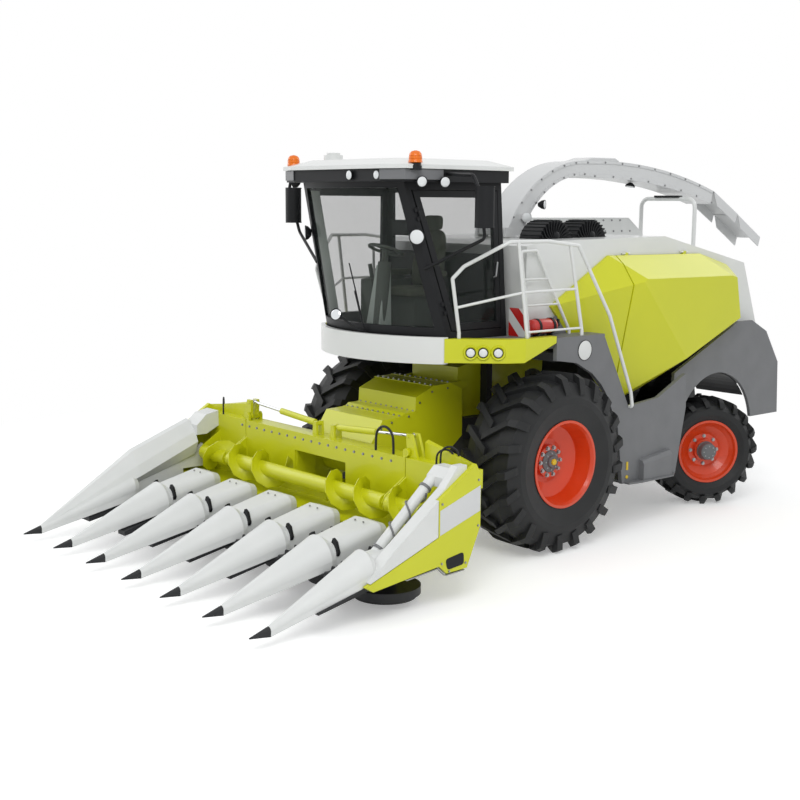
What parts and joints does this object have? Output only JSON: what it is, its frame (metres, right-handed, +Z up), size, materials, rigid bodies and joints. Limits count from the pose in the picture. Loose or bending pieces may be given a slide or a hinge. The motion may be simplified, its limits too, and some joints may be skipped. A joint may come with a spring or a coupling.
{
  "type": "forage harvester",
  "caption": "Self-propelled forage harvester with a folding row-crop picking header, cab, slewing spout and steered rear wheels.",
  "frame": {"origin": "on the floor under the middle of the part's bounding box", "axes": "+X to the machine's left, front faces -Y, +Z up"},
  "size_m": [4.48, 9.62, 4.078],
  "materials": {
    "chassis_paint": "satin dark grey",
    "lime_paint": "gloss lime green",
    "white_paint": "gloss white",
    "grey_panel": "satin grey moulded",
    "tyre_rubber": "matt black rubber",
    "rim_paint": "gloss orange red",
    "bare_steel": "worn bright steel",
    "black_plastic": "satin black",
    "cab_glazing": "clear tinted glass",
    "lamp_glass": "clear lens",
    "cab_trim": "grained grey",
    "seat_fabric": "woven grey cloth",
    "galvanised": "silver paint"
  },
  "bodies": {
    "machine": {"main_frame": "chassis_paint", "front_axle": "chassis_paint", "rear_axle": "chassis_paint", "engine": "chassis_paint", "crop_channel": "lime_paint", "hood": "white_paint", "air_box": "white_paint", "air_heads": "black_plastic", "side_noses": "lime_paint", "side_skirts": "grey_panel", "rear_guards": "grey_panel", "lamp_housings": "lime_paint", "lamps": "lamp_glass", "apron": "white_paint", "cab_frame": "black_plastic", "cab_glass": "cab_glazing", "roof": "white_paint", "cab_seat": "seat_fabric", "cab_controls": "cab_trim", "railings": "white_paint", "mirrors": "black_plastic"},
    "front_wheel_left": {"front_tyre_left": "tyre_rubber", "front_rim_left": "rim_paint"},
    "front_wheel_right": {"front_tyre_right": "tyre_rubber", "front_rim_right": "rim_paint"},
    "knuckle_left": {"knuckle_left": "chassis_paint"},
    "knuckle_right": {"knuckle_right": "chassis_paint"},
    "rear_wheel_left": {"rear_tyre_left": "tyre_rubber", "rear_rim_left": "rim_paint"},
    "rear_wheel_right": {"rear_tyre_right": "tyre_rubber", "rear_rim_right": "rim_paint"},
    "steering_rod": {"steering_rod": "bare_steel"},
    "side_flap_left": {"side_flap_left": "lime_paint"},
    "side_flap_right": {"side_flap_right": "lime_paint"},
    "door": {"cab_door": "black_plastic", "door_glass": "cab_glazing"},
    "turret": {"turret": "galvanised"},
    "spout": {"spout": "galvanised"},
    "deflector_near": {"deflector_near": "galvanised"},
    "deflector_far": {"deflector_far": "galvanised"},
    "feeder": {"feeder_house": "lime_paint", "header_frame": "lime_paint", "snouts_centre": "white_paint", "rows_centre": "chassis_paint"},
    "feed_roller": {"feed_roller": "chassis_paint"},
    "lift_barrels": {"lift_barrels": "chassis_paint"},
    "lift_rods": {"lift_rods": "bare_steel"},
    "auger": {"auger": "lime_paint"},
    "auger_left": {"auger_left": "lime_paint"},
    "auger_right": {"auger_right": "lime_paint"},
    "wing_left": {"wing_frame_left": "lime_paint", "covers_left": "white_paint", "rows_left": "chassis_paint"},
    "wing_right": {"wing_frame_right": "lime_paint", "covers_right": "white_paint", "rows_right": "chassis_paint"},
    "fold_barrel_left": {"fold_barrel_left": "lime_paint"},
    "fold_barrel_right": {"fold_barrel_right": "lime_paint"},
    "fold_rod_left": {"fold_rod_left": "bare_steel"},
    "fold_rod_right": {"fold_rod_right": "bare_steel"}
  },
  "joints": [
    {"name": "front_wheel_left_spin", "type": "hinge", "parent": "machine", "child": "front_wheel_left", "pos_m": [1.385, -0.65, 0.935], "axis": [1, 0, 0], "continuous": true},
    {"name": "front_wheel_right_spin", "type": "hinge", "parent": "machine", "child": "front_wheel_right", "pos_m": [-1.385, -0.65, 0.935], "axis": [1, 0, 0], "continuous": true},
    {"name": "steer_left", "type": "hinge", "parent": "machine", "child": "knuckle_left", "pos_m": [0.94, 2.5, 0.65], "axis": [0, 0, 1], "range_deg": [-11, 69]},
    {"name": "steer_right", "type": "hinge", "parent": "machine", "child": "knuckle_right", "pos_m": [-0.94, 2.5, 0.65], "axis": [0, 0, 1], "range_deg": [-11, 69]},
    {"name": "rear_wheel_left_spin", "type": "hinge", "parent": "knuckle_left", "child": "rear_wheel_left", "pos_m": [0.94, 2.5, 0.65], "axis": [0.8746, -0.4848, 0], "continuous": true},
    {"name": "rear_wheel_right_spin", "type": "hinge", "parent": "knuckle_right", "child": "rear_wheel_right", "pos_m": [-0.94, 2.5, 0.65], "axis": [0.8746, -0.4848, 0], "continuous": true},
    {"name": "steering_rod_slide", "type": "slide", "parent": "machine", "child": "steering_rod", "axis": [1, 0, 0], "range_m": [-0.18, 0.03]},
    {"name": "side_flap_left_open", "type": "hinge", "parent": "machine", "child": "side_flap_left", "pos_m": [1.166, 1.35, 3.036], "axis": [0, -1, 0], "range_deg": [0, 70]},
    {"name": "side_flap_right_open", "type": "hinge", "parent": "machine", "child": "side_flap_right", "pos_m": [-1.166, 1.35, 3.036], "axis": [0, 1, 0], "range_deg": [0, 70]},
    {"name": "door_open", "type": "hinge", "parent": "machine", "child": "door", "pos_m": [0.9853, -1.6267, 2.3093], "axis": [0.0997, 0.2896, -0.952], "range_deg": [0, 28]},
    {"name": "spout_slew", "type": "hinge", "parent": "machine", "child": "turret", "pos_m": [0, 0.04, 3.14], "axis": [0, 0, 1], "range_deg": [-105, 105]},
    {"name": "spout_lift", "type": "hinge", "parent": "turret", "child": "spout", "pos_m": [0, -0.105, 3.262], "axis": [1, 0, 0], "range_deg": [0, 30]},
    {"name": "deflector_near_tilt", "type": "hinge", "parent": "spout", "child": "deflector_near", "pos_m": [0, 3.6825, 3.735], "axis": [1, 0, 0], "range_deg": [-25, 28]},
    {"name": "deflector_far_tilt", "type": "hinge", "parent": "deflector_near", "child": "deflector_far", "pos_m": [0, 4.2381, 3.4401], "axis": [1, 0, 0], "range_deg": [-25, 28]},
    {"name": "feeder_lift", "type": "hinge", "parent": "machine", "child": "feeder", "pos_m": [0, -0.9, 1.64], "axis": [-1, 0, 0], "range_deg": [0, 18]},
    {"name": "lift_barrels_swing", "type": "hinge", "parent": "machine", "child": "lift_barrels", "pos_m": [0, -0.84, 0.7], "axis": [-1, 0, 0], "range_deg": [-1, 18]},
    {"name": "lift_rods_slide", "type": "slide", "parent": "lift_barrels", "child": "lift_rods", "axis": [0, -0.9957, -0.0926], "range_m": [-0.01, 0.313]},
    {"name": "feed_roller_spin", "type": "hinge", "parent": "feeder", "child": "feed_roller", "pos_m": [0, -2.07, 0.85], "axis": [1, 0, 0], "continuous": true},
    {"name": "auger_spin", "type": "hinge", "parent": "feeder", "child": "auger", "pos_m": [0, -2.77, 0.79], "axis": [1, 0, 0], "continuous": true},
    {"name": "wing_left_fold", "type": "hinge", "parent": "feeder", "child": "wing_left", "pos_m": [1.34, -2.45, 1.24], "axis": [0, -1, 0], "range_deg": [0, 90]},
    {"name": "wing_right_fold", "type": "hinge", "parent": "feeder", "child": "wing_right", "pos_m": [-1.34, -2.45, 1.24], "axis": [0, 1, 0], "range_deg": [0, 90]},
    {"name": "auger_left_spin", "type": "hinge", "parent": "wing_left", "child": "auger_left", "pos_m": [1.6, -2.77, 0.79], "axis": [1, 0, 0], "continuous": true},
    {"name": "auger_right_spin", "type": "hinge", "parent": "wing_right", "child": "auger_right", "pos_m": [-1.6, -2.77, 0.79], "axis": [1, 0, 0], "continuous": true},
    {"name": "fold_barrel_left_swing", "type": "hinge", "parent": "feeder", "child": "fold_barrel_left", "pos_m": [0.15, -2.45, 1.31], "axis": [0, -1, 0], "range_deg": [-9.5, 1]},
    {"name": "fold_rod_left_slide", "type": "slide", "parent": "fold_barrel_left", "child": "fold_rod_left", "axis": [0.9977, 0, 0.0676], "range_m": [-0.15, 0.01]},
    {"name": "fold_barrel_right_swing", "type": "hinge", "parent": "feeder", "child": "fold_barrel_right", "pos_m": [-0.15, -2.45, 1.31], "axis": [0, 1, 0], "range_deg": [-9.5, 1]},
    {"name": "fold_rod_right_slide", "type": "slide", "parent": "fold_barrel_right", "child": "fold_rod_right", "axis": [-0.9977, 0, 0.0676], "range_m": [-0.15, 0.01]}
  ],
  "couplings": [
    {"joint": "steer_right", "follows": "steer_left", "ratio": 1},
    {"joint": "steering_rod_slide", "follows": "steer_left", "m_per_rad": -0.147},
    {"joint": "deflector_far_tilt", "follows": "deflector_near_tilt", "ratio": 1},
    {"joint": "lift_barrels_swing", "follows": "feeder_lift", "ratio": 0.8808},
    {"joint": "lift_rods_slide", "follows": "feeder_lift", "m_per_rad": 0.9326},
    {"joint": "wing_right_fold", "follows": "wing_left_fold", "ratio": 1},
    {"joint": "auger_left_spin", "follows": "auger_spin", "ratio": 1},
    {"joint": "auger_right_spin", "follows": "auger_spin", "ratio": 1},
    {"joint": "fold_barrel_left_swing", "follows": "wing_left_fold", "ratio": -0.092},
    {"joint": "fold_rod_left_slide", "follows": "wing_left_fold", "m_per_rad": -0.0889},
    {"joint": "fold_barrel_right_swing", "follows": "wing_left_fold", "ratio": -0.092},
    {"joint": "fold_rod_right_slide", "follows": "wing_left_fold", "m_per_rad": -0.0889}
  ]
}
